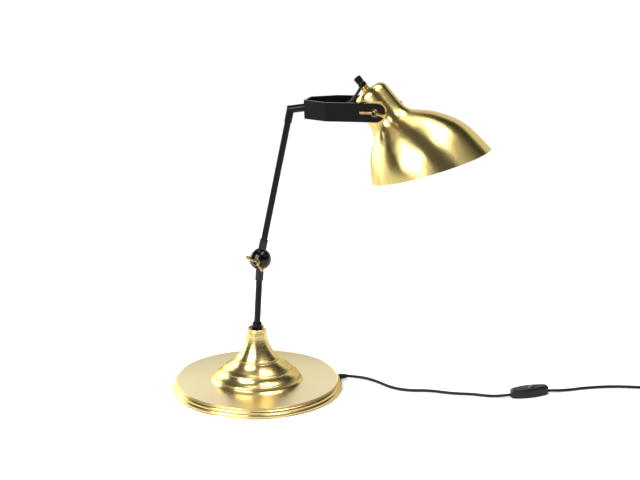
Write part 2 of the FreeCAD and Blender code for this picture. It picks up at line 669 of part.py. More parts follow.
def plug_pins():
    pin = rod(2.0, 34.02, 51.5, X_AXIS).fuse(Part.makeSphere(2.0).translated(V(51.5, 0, 0)))
    return group(*[pin.translated(V(0, y, 6.5)) for y in (-9.5, 9.5)])


# ---------------------------------------------------------------- assembly
def build():
    neck_pivot = V(0, 0, PIVOT_Z)
    ball = along(neck_pivot, STEM_LEAN, STEM_LEN)
    corner = along(ball, ARM_LEAN, ARM_LEN)
    back = -YOKE_BACK - WASHER_T - COLLAR_T
    tilt = math.radians(YOKE_TILT)
    elbow_face = YOKE_PIVOT + V(math.cos(tilt), 0, math.sin(tilt)) * back

    def in_stem(shape):
        return place(shape, neck_pivot, STEM_LEAN)

    def in_yoke(shape):
        return place(shape, YOKE_PIVOT, -YOKE_TILT)

    def in_shade(shape):
        return place(shape, YOKE_PIVOT, SHADE_TILT)

    def at_switch(shape):
        return place(shape, SWITCH_AT, turn=SWITCH_TURN)

    def at_plug(shape):
        heading = math.radians(PLUG_TURN)
        return place(shape, PLUG_AT + V(math.cos(heading), math.sin(heading), 0) * RELIEF_LEN, turn=PLUG_TURN)

    near_ear = V(0, -YOKE_HALF - 1.3, 0)
    far_nut = wing_nut(EAR_WING_SPAN, -EAR_WING_TURN)
    far_nut.rotate(V(0, 0, 0), Z_AXIS, 180)
    print("ball", ball, "corner", corner, "elbow face", elbow_face)
    return {
        "base_shell": base_shell(),
        "base_weight": base_weight(),
        "base_cover": base_cover(),
        "base_felt": tube(COVER_R, 9.0, 0, FELT_T),
        "cover_screws": cover_screws(),
        "base_neck": base_neck(),
        "neck_cup": neck_cup(),
        "neck_bush": neck_bush(),
        "tie_rod": tie_rod(),
        "tie_nuts": tie_nuts(),
        "cord_grommet": cord_grommet(),
        "base_lead": base_lead(),
        "lead_clamp": lead_clamp(),
        "stem_collar": in_stem(stem_collar()),
        "stem_tube": in_stem(stem_tube()),
        "knuckle_fork": place(knuckle_fork(), ball, STEM_LEAN + 180),
        "knuckle_bolt": knuckle_bolt().translated(ball),
        "knuckle_washer": knuckle_washer().translated(ball),
        "knuckle_wing_nut": wing_nut(WING_SPAN, -KNUCKLE_WING_TURN).translated(ball + V(0, -BALL_R + 0.8, 0)),
        "knuckle_tongue": place(knuckle_tongue(), ball, ARM_LEAN),
        "arm_tube": place(arm_tube(), ball, ARM_LEAN),
        "elbow": elbow(corner, elbow_face),
        "yoke_collar": in_yoke(yoke_collar()),
        "yoke_nipple": in_yoke(yoke_nipple()),
        "yoke_washers": in_yoke(yoke_washers()),
        "yoke_nut": in_yoke(yoke_nut()),
        "nipple_bushing": in_yoke(nipple_bushing()),
        "yoke": in_yoke(yoke_strap()),
        "shade": in_shade(shade_shell()),
        "pivot_bosses": in_shade(pivot_bosses()),
        "pivot_studs": in_shade(pivot_studs()),
        "ear_washers": in_yoke(ear_washers()),
        "near_wing_nut": in_yoke(wing_nut(EAR_WING_SPAN, -EAR_WING_TURN).translated(near_ear)),
        "far_wing_nut": in_yoke(far_nut.translated(-near_ear)),
        "lampholder_cap": in_shade(lampholder_cap()),
        "lampholder_skirt": in_shade(lampholder_skirt()),
        "lampholder_ring": in_shade(lampholder_ring()),
        "lampholder_insulator": in_shade(lampholder_insulator()),
        "contact_tongue": in_shade(contact_tongue()),
        "bulb_cap": in_shade(bulb_cap()),
        "bulb_glass": in_shade(bulb_glass()),
        "switch_collar": in_shade(switch_collar()),
        "switch_body": in_shade(switch_body()),
        "switch_knob": in_shade(switch_knob()),
        "head_lead": cord_tube(HEAD_ROUTE, HEAD_LEAD_R, "head lead"),
        "cord_to_switch": cord_tube(SUPPLY_ROUTE, CORD_R, "cord to switch"),
        "cord_to_coil": cord_tube(OUTGOING_ROUTE, CORD_R, "cord to coil"),
        "cord_to_plug": cord_tube(TAIL_ROUTE, CORD_R, "cord to plug"),
        "cord_coil": cord_coil(),
        "coil_tie": coil_tie(),
        "inline_base": at_switch(inline_base()),
        "inline_cover": at_switch(inline_cover()),
        "inline_rocker": at_switch(inline_rocker()),
        "inline_screws": at_switch(inline_screws()),
        "plug_relief": at_plug(plug_relief()),
        "plug_body": at_plug(plug_body()),
        "plug_pins": at_plug(plug_pins()),
    }


def main():
    os.makedirs("parts", exist_ok=True)
    for name, shape in build().items():
        if not shape.isValid():
            print("not valid:", name)
        shape.exportStep(f"parts/{name}.step")


main()
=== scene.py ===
"""Swing arm desk lamp: brass base and shade, black jointed arm, yoke and supply cord."""

import json
import math

import bmesh
import bpy
from mathutils import Matrix, Vector


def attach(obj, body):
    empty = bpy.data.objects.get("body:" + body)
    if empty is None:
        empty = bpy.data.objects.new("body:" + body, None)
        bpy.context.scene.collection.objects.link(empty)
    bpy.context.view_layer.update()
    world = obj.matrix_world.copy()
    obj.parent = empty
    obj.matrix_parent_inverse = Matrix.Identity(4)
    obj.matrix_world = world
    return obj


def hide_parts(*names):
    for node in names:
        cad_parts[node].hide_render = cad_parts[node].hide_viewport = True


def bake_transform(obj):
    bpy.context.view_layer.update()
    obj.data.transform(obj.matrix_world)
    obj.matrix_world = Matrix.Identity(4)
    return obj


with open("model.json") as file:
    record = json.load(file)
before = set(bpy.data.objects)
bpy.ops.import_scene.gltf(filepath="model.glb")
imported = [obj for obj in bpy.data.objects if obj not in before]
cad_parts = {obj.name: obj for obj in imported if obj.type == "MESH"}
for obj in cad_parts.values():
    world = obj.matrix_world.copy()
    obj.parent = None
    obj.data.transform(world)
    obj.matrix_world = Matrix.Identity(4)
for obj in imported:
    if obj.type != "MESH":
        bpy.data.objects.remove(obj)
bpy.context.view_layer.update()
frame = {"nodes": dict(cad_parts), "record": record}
NODES = frame["nodes"]

MM = 0.001

# ---- camera: millimetres for the lens, metres for the place, degrees for the turns
LENS = 78.75
SENSOR = 36.0
CAMERA_AT = (0.7075, -1.9728, 0.8336)
CAMERA_PITCH = 74.256
CAMERA_YAW = 17.0
VIEW_DEPTH = 50.0

# ---- cords, in millimetres; the points are the part's own routes
CORD_D = 4.6
CORD_Z = 2.4
COIL_AT = (639.0, 131.0)
COIL_RADII = (42.8, 38.0, 33.2, 33.2, 38.0, 42.8)
COIL_Z = (2.4, 2.4, 2.4, 7.2, 7.2, 7.2)
COIL_START = 95.2
COIL_TURNS = 5.2755
COIL_STEP_FROM = (0.8, 0.8, 0.8, 0.6, 0.6, 0.6)
COIL_STEP_SHARE = 0.2
POINTS_A_TURN = 24
SUPPLY = [(128.6, 71.3, 6.0), (150, 81, 3.1), (176, 73, CORD_Z), (208, 51, CORD_Z), (238, 48, CORD_Z),
          (268, 58, CORD_Z), (304, 56, CORD_Z), (338, 63, CORD_Z), (369, 61.5, 2.6), (397, 72, 5.0)]
IN_SWITCH = [(409, 80.1, 5.0), (421.5, 88.5, 5.0), (434, 96.9, 5.0)]
OUTGOING = [(446, 105, 5.0), (472, 120, CORD_Z), (505, 143, CORD_Z), (545, 161, CORD_Z),
            (590, 170, CORD_Z), (635, 173.6, CORD_Z)]
TAIL = [(681.8, 128, 7.2), (683, 114, 6.4), (681.1, 97.6, 5.6), (678, 82, 6.5)]

HEAD_LEAD_D = 4.6
HEAD_ROUTE = [(90, 0, 456.4), (114, 0, 457.3), (140, 0, 460.5), (157.5, 0, 472.5), (167.3, 0, 491)]

# ---- base and shade, in millimetres and degrees
SEAT_Z = 48.6
CUP_Z = 96.5
FACE_FROM = 72.0
FACE_TO = 128.2
EDGE_SOFTENING = 0.25
PIVOT = Vector((198.5, 0, 460.2))
SHADE_TILT = 140.0
SHADE_WALL = 1.0
SHADE_END = -34.0
SHADE_NECK_R = 29.3
SHADE_NECK_TAPER = 1.0
SHADE_NECK_ROWS = 5
SHOULDER_R = 12.5
END_HOLE_R = 4.0
RIM_T = 108.5
RIM_SLANT = 22.0
BELL_FROM = 8.5
BELL_ROWS = 72
BELL_SPLINE_STEPS = 12
SHADE_SEGMENTS = 256

# ---- studio, in metres and degrees
FLOOR_R = 1.3
FLOOR_AT = (0.2, 0.45, -0.0002)
FLOOR_SEGMENTS = 96
FLOOR_GLOW = 0.30
BACKDROP_REAR_RISE = 0.58
WORLD_STOPS = [(0.0, 1.05), (0.50, 1.05), (0.525, 0.03), (0.66, 0.02), (0.76, 0.10), (1.0, 0.10)]
LIGHTS_AIM_AT = Vector((0.15, 0, 0.3))
# name: (azimuth, elevation, distance, width, height, radiance)
SOFTBOXES = {
    "left_box": (-44, 33, 2.2, 1.5, 1.4, 8.5),
    "top_box": (85, 74, 2.2, 1.6, 0.8, 8.0),
    "rear_box": (175, 68, 2.2, 1.4, 0.8, 3.0),
    "side_box": (-135, 9, 2.4, 2.2, 1.3, 4.0),
}


def link(obj):
    bpy.context.scene.collection.objects.link(obj)
    return obj


# ---------------------------------------------------------------- camera
def add_camera():
    data = bpy.data.cameras.new("camera")
    data.lens = LENS
    data.sensor_width = SENSOR
    data.clip_end = VIEW_DEPTH
    camera = link(bpy.data.objects.new("camera", data))
    camera.location = CAMERA_AT
    camera.rotation_euler = (math.radians(CAMERA_PITCH), 0, math.radians(CAMERA_YAW))
    bpy.context.scene.camera = camera


add_camera()


# ---------------------------------------------------------------- materials
NOISE_LOW = 0.3
NOISE_HIGH = 0.7
FINE_RELIEF = 0.0001
SPUN_RELIEF = 0.00002
SPUN_STRENGTH = 0.02
SPUN_LINES = (3.0, 320.0, 1.0)
SPUN_GLOSS = (2.0, 260.0, 1.0)
ACROSS_THE_LINES = 0.25


class Paint:
    """One Principled material with helpers for its procedural inputs."""

    def __init__(self, name, rough, metallic=0.0, **sockets):
        self.mat = bpy.data.materials.new(name)
        self.mat.use_nodes = True
        self.tree = self.mat.node_tree
        self.shader = self.tree.nodes["Principled BSDF"]
        self.shader.inputs["Roughness"].default_value = rough
        self.shader.inputs["Metallic"].default_value = metallic
        for socket, value in sockets.items():
            self.shader.inputs[socket.replace("_", " ")].default_value = value
        self.coords = self.node("ShaderNodeTexCoord")

    def node(self, kind, **settings):
        made = self.tree.nodes.new(kind)
        for key, value in settings.items():
            setattr(made, key, value)
        return made

    def wire(self, out, into):
        self.tree.links.new(out, into)

    def noise(self, scale, detail=3.0, stretch=(1, 1, 1), coords="Object", roughness=0.5):
        mapping = self.node("ShaderNodeMapping")
        mapping.inputs["Scale"].default_value = stretch
        self.wire(self.coords.outputs[coords], mapping.inputs["Vector"])
        made = self.node("ShaderNodeTexNoise")
        made.inputs["Scale"].default_value = scale
        made.inputs["Detail"].default_value = detail
        made.inputs["Roughness"].default_value = roughness
        self.wire(mapping.outputs["Vector"], made.inputs["Vector"])
        return made.outputs["Fac"]

    def ramp(self, value, stops):
        made = self.node("ShaderNodeValToRGB")
        elements = made.color_ramp.elements
        while len(elements) < len(stops):
            elements.new(0.5)
        for element, (place, colour) in zip(elements, stops):
            element.position = place
            element.color = (*colour, 1)
        self.wire(value, made.inputs["Fac"])
        return made.outputs["Color"]

    def colour(self, value, stops):
        self.wire(self.ramp(value, stops), self.shader.inputs["Base Color"])

    def roughness(self, value, low, high):
        spread = self.node("ShaderNodeMapRange")
        spread.inputs["From Min"].default_value = NOISE_LOW
        spread.inputs["From Max"].default_value = NOISE_HIGH
        spread.inputs["To Min"].default_value = low
        spread.inputs["To Max"].default_value = high
        self.wire(value, spread.inputs["Value"])
        self.wire(spread.outputs["Result"], self.shader.inputs["Roughness"])

    def bump(self, value, strength, distance):
        made = self.node("ShaderNodeBump")
        made.inputs["Strength"].default_value = strength
        made.inputs["Distance"].default_value = distance
        self.wire(value, made.inputs["Height"])
        previous = self.shader.inputs["Normal"].links
        if previous:
            self.wire(previous[0].from_socket, made.inputs["Normal"])
        self.wire(made.outputs["Normal"], self.shader.inputs["Normal"])


def brass(name, light, dark, rough, anisotropy=0.0, edge=(1.0, 1.0, 1.0)):
    """Brass with soft patches of tarnish. With anisotropy it is spun, with lines round the axis."""
    paint = Paint(name, rough, 1.0, Anisotropic=anisotropy, Anisotropic_Rotation=ACROSS_THE_LINES,
                  Specular_Tint=(*edge, 1.0))
    if anisotropy:
        lines = paint.noise(scale=1.0, detail=2.0, stretch=SPUN_LINES, coords="UV")
        paint.bump(lines, strength=SPUN_STRENGTH, distance=SPUN_RELIEF)
        tangent = paint.node("ShaderNodeTangent", direction_type="UV_MAP")
        paint.wire(tangent.outputs["Tangent"], paint.shader.inputs["Tangent"])
        gloss = paint.noise(scale=1.0, detail=2.0, stretch=SPUN_GLOSS, coords="UV")
        paint.roughness(gloss, low=rough * 0.92, high=rough * 1.08)
    else:
        paint.roughness(paint.noise(scale=400.0, detail=3.0), low=rough * 0.8, high=rough * 1.3)
    paint.colour(paint.noise(scale=9.0, detail=3.0), [(0.30, dark), (0.70, light)])
    return paint.mat


def enamel(name, colour, worn, rough, coat):
    """Black enamel with a little orange peel and faint rubbing."""
    paint = Paint(name, rough, 0.0, Coat_Weight=coat, Coat_Roughness=0.12, Specular_IOR_Level=0.16)
    paint.colour(paint.noise(scale=90.0, detail=6.0, roughness=0.7), [(0.42, colour), (0.78, worn)])
    paint.roughness(paint.noise(scale=140.0, detail=3.0), low=rough * 0.8, high=rough * 1.35)
    paint.bump(paint.noise(scale=700.0, detail=2.0), strength=0.04, distance=FINE_RELIEF)
    return paint.mat


def plain(name, colour, other, rough, metallic=0.0, grain=900.0, depth=0.15, **sockets):
    """Two close colours in soft patches over a fine grain."""
    paint = Paint(name, rough, metallic, **sockets)
    paint.colour(paint.noise(scale=55.0, detail=5.0), [(0.35, colour), (0.7, other)])
    paint.roughness(paint.noise(scale=120.0, detail=3.0), low=rough * 0.85, high=rough * 1.2)
    paint.bump(paint.noise(scale=grain, detail=3.0), strength=depth, distance=FINE_RELIEF)
    return paint.mat


OLIVE_EDGE = (0.60, 0.52, 0.32)
PALE_EDGE = (0.74, 0.70, 0.54)
MATERIALS = {
    "brass": brass("shade_brass", (0.76, 0.61, 0.24), (0.66, 0.51, 0.18), rough=0.25,
                   anisotropy=0.85, edge=PALE_EDGE),
    # A paler copy of the brass, painted light for the base's flat face.
    "base_brass": brass("base_brass", (0.88, 0.75, 0.43), (0.83, 0.69, 0.37), rough=0.32, anisotropy=0.35),
    "neck_brass": brass("neck_brass", (0.80, 0.64, 0.29), (0.72, 0.56, 0.23), rough=0.27,
                        anisotropy=0.6, edge=OLIVE_EDGE),
    "turned_brass": brass("turned_brass", (0.78, 0.60, 0.22), (0.66, 0.48, 0.15), rough=0.24,
                          edge=OLIVE_EDGE),
    "wing_brass": brass("wing_brass", (0.64, 0.48, 0.24), (0.36, 0.26, 0.12), rough=0.30,
                        edge=OLIVE_EDGE),
    "black_enamel": enamel("black_enamel", (0.0016, 0.0017, 0.0021), (0.003, 0.003, 0.0034),
                           rough=0.22, coat=0.0),
    "ball_enamel": enamel("ball_enamel", (0.0016, 0.0017, 0.0020), (0.003, 0.003, 0.0034),
                          rough=0.18, coat=0.3),
    "bakelite": enamel("bakelite", (0.006, 0.005, 0.0045), (0.012, 0.010, 0.008), rough=0.28, coat=0.15),
    "black_rubber": plain("black_rubber", (0.006, 0.006, 0.0065), (0.013, 0.013, 0.014), rough=0.5,
                          Specular_IOR_Level=0.25),
    "black_plastic": plain("black_plastic", (0.006, 0.006, 0.007), (0.012, 0.012, 0.013), rough=0.4,
                           Specular_IOR_Level=0.25),
    "blackened_steel": plain("blackened_steel", (0.030, 0.029, 0.028), (0.055, 0.052, 0.05), rough=0.4,
                             metallic=1.0, grain=400.0),
    # The rocker is a lighter grey than the black plastic of the switch.
    "grey_rocker": plain("grey_rocker", (0.040, 0.040, 0.042), (0.075, 0.075, 0.078), rough=0.35),
    "bare_steel": plain("bare_steel", (0.62, 0.62, 0.63), (0.45, 0.45, 0.46), rough=0.32,
                        metallic=1.0, grain=400.0),
    "nickel": plain("nickel", (0.74, 0.72, 0.68), (0.62, 0.60, 0.56), rough=0.22, metallic=1.0, grain=300.0),
    "cast_iron": plain("cast_iron", (0.04, 0.04, 0.042), (0.075, 0.07, 0.066), rough=0.6,
                       grain=250.0, depth=0.5),
    "felt": plain("felt", (0.020, 0.028, 0.020), (0.040, 0.050, 0.040), rough=0.95,
                  grain=1600.0, depth=0.9),
    "tie_fabric": plain("tie_fabric", (0.015, 0.015, 0.016), (0.035, 0.035, 0.037), rough=0.85,
                        grain=1300.0, depth=0.8),
    "porcelain": plain("porcelain", (0.80, 0.79, 0.74), (0.74, 0.72, 0.66), rough=0.25),
    "bulb_glass": plain("bulb_glass", (0.90, 0.90, 0.86), (0.84, 0.84, 0.80), rough=0.16,
                        grain=60.0, depth=0.02, Coat_Weight=0.5),
}
SLOT_OF = {entry["node"]: entry["material_slot"] for entry in frame["record"]["subparts"]}
SPECIAL = {
    "base_shell": "base_brass", "base_neck": "neck_brass", "neck_cup": "neck_brass",
    "neck_bush": "turned_brass", "pivot_bosses": "turned_brass", "switch_collar": "turned_brass",
    "knuckle_fork": "ball_enamel", "knuckle_tongue": "ball_enamel", "inline_rocker": "grey_rocker",
    "pivot_studs": "blackened_steel", "knuckle_bolt": "blackened_steel", "ear_washers": "blackened_steel",
}


def finish_of(node):
    """A node's material: its own where it has one, or else that of its slot."""
    return MATERIALS[SPECIAL.get(node, SLOT_OF[node])]


def paint_node(node):
    """Gives a CAD node its material."""
    obj = NODES[node]
    obj.data.materials.clear()
    obj.data.materials.append(finish_of(node))


# ---------------------------------------------------------------- mesh helpers
ARC_STEPS = 10
SMOOTH_BEND = 25.0
SHARP_BEND = 32.0
SHARP_BEND_SHADE = 40.0
SHARP_BEND_LEAD = 40.0
CLOSING_STRIP = 0.001
TOO_SHORT = 1e-6
CORD_ROUND = 5
CORD_SMOOTH = 8


def mesh_object(name, bm, material, sharp):
    """Makes the object, smooth but for edges that bend by more than the angle in degrees."""
    mesh = bpy.data.meshes.new(name)
    bm.normal_update()
    bm.to_mesh(mesh)
    bm.free()
    mesh.shade_smooth()
    mesh.set_sharp_from_angle(angle=math.radians(sharp))
    mesh.materials.append(material)
    return link(bpy.data.objects.new(name, mesh))


def spin(bm, profile, segments):
    """Quads from a closed profile of (r, z) points in mm turned about Z, with a UV map.

    The strip that closes the profile is out of sight in the bore, and takes a fixed part of the map.
    """
    uv = bm.loops.layers.uv.verify()
    lengths = [0.0]
    for before, after in zip(profile, profile[1:]):
        lengths.append(lengths[-1] + math.dist(before, after) * MM)
    lengths.append(lengths[-1] + CLOSING_STRIP)
    rings = []
    for r, z in profile:
        turns = [math.tau * i / segments for i in range(segments)]
        rings.append([bm.verts.new((r * MM * math.cos(a), r * MM * math.sin(a), z * MM)) for a in turns])
    for j in range(len(profile)):
        k = (j + 1) % len(profile)
        for i in range(segments):
            n = (i + 1) % segments
            face = bm.faces.new((rings[j][i], rings[j][n], rings[k][n], rings[k][i]))
            distances = (lengths[j], lengths[j], lengths[j + 1], lengths[j + 1])
            for loop, u, v in zip(face.loops, (i, i + 1, i + 1, i), distances):
                loop[uv].uv = (u / segments, v)


def arc(start, middle, end, steps):
    """Points along the circle through three (r, z) points, without the first."""
    (ax, ay), (bx, by), (cx, cy) = start, middle, end
    area = 2 * (ax * (by - cy) + bx * (cy - ay) + cx * (ay - by))
    a2 = ax * ax + ay * ay
    b2 = bx * bx + by * by
    c2 = cx * cx + cy * cy
    ux = (a2 * (by - cy) + b2 * (cy - ay) + c2 * (ay - by)) / area
    uy = (a2 * (cx - bx) + b2 * (ax - cx) + c2 * (bx - ax)) / area
    radius = math.hypot(ax - ux, ay - uy)
    first = math.atan2(ay - uy, ax - ux)
    half = math.atan2(by - uy, bx - ux)
    last = math.atan2(cy - uy, cx - ux)
    turn = (last - first) % math.tau
    if (half - first) % math.tau > turn:
        turn -= math.tau
    angles = [first + turn * i / steps for i in range(1, steps + 1)]
    return [(ux + radius * math.cos(angle), uy + radius * math.sin(angle)) for angle in angles]


def outline(start, *steps):
    """Points of an outline: a step is a point, or a pair of points that an arc goes through and ends at."""
    points = [start]
    for step in steps:
        if isinstance(step[0], tuple):
            points += arc(points[-1], step[0], step[1], ARC_STEPS)
        else:
            points.append(step)
    return points


def soften(points, size=EDGE_SOFTENING):
    """Cuts each hard corner of a closed outline back a little, so that it catches the light."""
    soft = []
    for before, here, after in zip([points[-1], *points[:-1]], points, [*points[1:], points[0]]):
        into = Vector(here) - Vector(before)
        out = Vector(after) - Vector(here)
        if into.length < TOO_SHORT or out.length < TOO_SHORT:
            continue
        if into.angle(out) < math.radians(SMOOTH_BEND):
            soft.append(here)
            continue
        back = min(size, into.length * 0.4)
        on = min(size, out.length * 0.4)
        first = Vector(here) - into.normalized() * back
        last = Vector(here) + out.normalized() * on
        middle = (first + last) / 2 * 0.5 + Vector(here) * 0.5
        soft += [tuple(first), tuple(middle), tuple(last)]
    return soft


def turned(name, node, body, points, segments):
    """A turned piece that stands for a CAD node."""
    bm = bmesh.new()
    spin(bm, soften(points), segments)
    bmesh.ops.recalc_face_normals(bm, faces=bm.faces)
    piece = mesh_object(name, bm, finish_of(node), SHARP_BEND)
    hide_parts(node)
    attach(piece, body)
    return piece


# ---------------------------------------------------------------- cords
def smooth_step(value):
    """From 0 to 1, level at both ends."""
    value = min(max(value, 0.0), 1.0)
    return value * value * (3 - 2 * value)


def coil_point(turns):
    """A point of the coil: each turn keeps its circle and moves to the next one in its last part."""
    turn = int(turns)
    share = smooth_step((turns - turn - COIL_STEP_FROM[turn]) / COIL_STEP_SHARE)
    after = min(turn + 1, len(COIL_RADII) - 1)
    radius = COIL_RADII[turn] + (COIL_RADII[after] - COIL_RADII[turn]) * share
    height = COIL_Z[turn] + (COIL_Z[after] - COIL_Z[turn]) * share
    angle = math.radians(COIL_START) - math.tau * turns
    return (COIL_AT[0] + radius * math.cos(angle), COIL_AT[1] + radius * math.sin(angle), height)


def cord_curve(name, points, diameter, material):
    """A round cord along the points, all in millimetres."""
    data = bpy.data.curves.new(name, "CURVE")
    data.dimensions = "3D"
    data.bevel_depth = diameter * MM / 2
    data.bevel_resolution = CORD_ROUND
    data.use_fill_caps = True
    spline = data.splines.new("NURBS")
    spline.points.add(len(points) - 1)
    for point, place in zip(spline.points, points):
        point.co = (*[value * MM for value in place], 1)
    spline.order_u = 3
    spline.use_endpoint_u = True
    spline.resolution_u = CORD_SMOOTH
    data.materials.append(material)
    return link(bpy.data.objects.new(name, data))


def add_supply_cord():
    steps = int(COIL_TURNS * POINTS_A_TURN)
    coil = [coil_point(COIL_TURNS * i / steps) for i in range(1, steps)]
    route = [*SUPPLY, *IN_SWITCH, *OUTGOING, *coil, *TAIL]
    cord = cord_curve("supply_cord", route, CORD_D, MATERIALS["black_rubber"])
    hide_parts("cord_to_switch", "cord_to_coil", "cord_to_plug", "cord_coil")
    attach(cord, "base")


def add_head_lead():
    curve = cord_curve("head_lead_curve", HEAD_ROUTE, HEAD_LEAD_D, MATERIALS["black_rubber"])
    depsgraph = bpy.context.evaluated_depsgraph_get()
    shape = bpy.data.meshes.new_from_object(curve.evaluated_get(depsgraph))
    bpy.data.objects.remove(curve)
    lead = link(bpy.data.objects.new("head_lead_piece", shape))
    shape.shade_smooth()
    shape.set_sharp_from_angle(angle=math.radians(SHARP_BEND_LEAD))
    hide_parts("head_lead")
    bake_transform(lead)


add_supply_cord()
add_head_lead()


# ---------------------------------------------------------------- turned brass
def add_base_shell():
    """The stepped dish: its broad face in a paler copy of the brass, painted light on the flat face, and its
    middle and rim in the darker neck brass.
    """
    shell = outline(
        (6.4, SEAT_Z), (33.4, SEAT_Z), ((34.2, 48.3), (34.6, 47.4)), ((41.8, 39.4), (53.0, 34.2)),
        ((53.9, 33.6), (54.2, 32.6)), (54.2, 31.2), ((59.0, 25.4), (65.6, 22.6)),
        ((66.5, 22.0), (66.8, 21.0)), (66.8, 19.8), ((69.2, 15.2), (74.5, 13.4)), (127.8, 14.6),
        ((128.4, 15.0), (129.0, 14.4)), (128.0, 13.6), (128.0, 12.0), ((131.6, 11.0), (132.6, 7.4)),
        (132.3, 6.9), (133.2, 6.4), ((134.5, 4.8), (134.8, 2.0)), (134.3, 1.6), (135.0, 1.1),
        (135.0, 0.6), (133.4, 0.6), (130.8, 6.4), (126.6, 12.4), (74.0, 12.1), (65.4, 18.6),
        (64.6, 21.4), (53.0, 29.0), (52.4, 32.6), (34.0, 44.6), (32.6, 47.4), (6.4, 47.4))
    piece = turned("base_shell_piece", "base_shell", "base", shell, 256)
    piece.data.materials.append(MATERIALS["neck_brass"])
    # The face band keeps the paler brass, painted light; the rest of the shell takes the darker neck brass.
    for face in piece.data.polygons:
        across = face.center.xy.length / MM
        if across < FACE_FROM or across > FACE_TO:
            face.material_index = 1


def add_base_neck():
    neck = outline(
        (11.0, CUP_Z), (15.2, CUP_Z), (15.2, 95.0), (14.7, 94.2), (15.1, 93.0),
        ((20.0, 71.5), (32.2, 52.2)), ((33.2, 51.4), (33.4, 50.4)), (33.4, SEAT_Z), (31.0, SEAT_Z),
        (30.4, 50.6), ((18.6, 71.0), (13.4, 92.0)), (11.0, 93.5))
    turned("base_neck_piece", "base_neck", "base", neck, 160)


def add_neck_cup():
    cup = outline(
        (10.0, CUP_Z), (14.9, CUP_Z), (14.9, 99.0), ((14.6, 99.5), (13.9, 99.5)),
        (12.6, 97.4), (10.0, 97.2))
    turned("neck_cup_piece", "neck_cup", "base", cup, 128)


def bell_points(inset):
    """(r, z) knots of the bell; the inner skin keeps its distance on the slope as well."""
    r = SHADE_NECK_R - inset
    slope = inset * 0.7
    return [(r - 0.2, 8), (r + 1.2, 18.5), (34.2 - inset, 26.4), (41.5 - slope, 33.4 + slope),
            (51.2 - slope, 42.0 + slope), (60.0 - slope, 51.2 + slope), (68.4 - slope, 62.4 + slope),
            (76.6 - inset, 75.5), (83.2 - inset, 90.4), (87.0 - inset, 106.0), (89.6 - inset, 126.0),
            (92.4 - inset, 152.0)]


def spline_slopes(values, spans):
    """Slopes at the knots of a natural cubic spline, for one coordinate of them."""
    count = len(values)
    lower, main, upper, right = [0.0] * count, [1.0] * count, [0.0] * count, [0.0] * count
    main[0] = main[-1] = 2.0
    upper[0] = lower[-1] = 1.0
    right[0] = 3 * (values[1] - values[0]) / spans[0]
    right[-1] = 3 * (values[-1] - values[-2]) / spans[-1]
    for i in range(1, count - 1):
        lower[i] = spans[i]
        upper[i] = spans[i - 1]
        main[i] = 2 * (spans[i] + spans[i - 1])
        right[i] = 3 * (spans[i] * (values[i] - values[i - 1]) / spans[i - 1]
                        + spans[i - 1] * (values[i + 1] - values[i]) / spans[i])
    for i in range(1, count):
        share = lower[i] / main[i - 1]
        main[i] -= share * upper[i - 1]
        right[i] -= share * right[i - 1]
    slopes = [0.0] * count
    slopes[-1] = right[-1] / main[-1]
    for i in range(count - 2, -1, -1):
        slopes[i] = (right[i] - upper[i] * slopes[i + 1]) / main[i]
    return slopes


def hermite(t, p0, p1, m0, m1):
    """A cubic from p0 to p1 with end slopes m0 and m1, at t from 0 to 1."""
    return ((2 * t**3 - 3 * t**2 + 1) * p0 + (t**3 - 2 * t**2 + t) * m0
            + (3 * t**2 - 2 * t**3) * p1 + (t**3 - t**2) * m1)


def natural_spline(knots, steps):
    """A cubic spline through the knots, by chord length, sampled evenly between them."""
    spans = [math.dist(a, b) for a, b in zip(knots, knots[1:])]
    slopes = [spline_slopes([knot[axis] for knot in knots], spans) for axis in (0, 1)]
    result = []
    for i, span in enumerate(spans):
        for j in range(steps):
            point = []
            for axis in (0, 1):
                m0 = slopes[axis][i] * span
                m1 = slopes[axis][i + 1] * span
                point.append(hermite(j / steps, knots[i][axis], knots[i + 1][axis], m0, m1))
            result.append(tuple(point))
    return [*result, knots[-1]]


def shade_line(inset):
    """One skin of the shade as (r, z) points: flat end, rounded shoulder, neck and bell."""
    end = SHADE_END + inset
    shoulder = SHOULDER_R - inset
    corner = (SHADE_NECK_R - inset - SHADE_NECK_TAPER - shoulder, end + shoulder)
    bulge = shoulder * math.sqrt(0.5)
    midway = (corner[0] + bulge, corner[1] - bulge)
    dome = arc((corner[0], end), midway, (corner[0] + shoulder, corner[1]), ARC_STEPS)
    bell = natural_spline(bell_points(inset), BELL_SPLINE_STEPS)
    (r0, z0), (r1, z1) = dome[-1], bell[0]
    shares = [i / SHADE_NECK_ROWS for i in range(1, SHADE_NECK_ROWS)]
    neck = [(r0 + (r1 - r0) * share, z0 + (z1 - z0) * share) for share in shares]
    return [(END_HOLE_R, end), (corner[0] * 0.6, end), (corner[0], end), *dome, *neck, *bell]


def point_along(profile, lengths, distance):
    """The (r, z) point at a distance along a profile."""
    for (r0, z0), (r1, z1), before, after in zip(profile, profile[1:], lengths, lengths[1:]):
        if distance <= after:
            share = (distance - before) / (after - before)
            return (r0 + (r1 - r0) * share, z0 + (z1 - z0) * share)
    return profile[-1]


def distance_to_rim(profile, lengths, turn):
    """How far along the profile the slanting rim's plane lies, at an angle about the shade's axis."""
    slant = math.radians(RIM_SLANT)
    sides = [math.sin(slant) * math.cos(turn) * r + math.cos(slant) * (z - RIM_T) for r, z in profile]
    for before, after, side0, side1 in zip(lengths, lengths[1:], sides, sides[1:]):
        if side0 < 0 <= side1:
            return before + (after - before) * side0 / (side0 - side1)
    return lengths[-1]


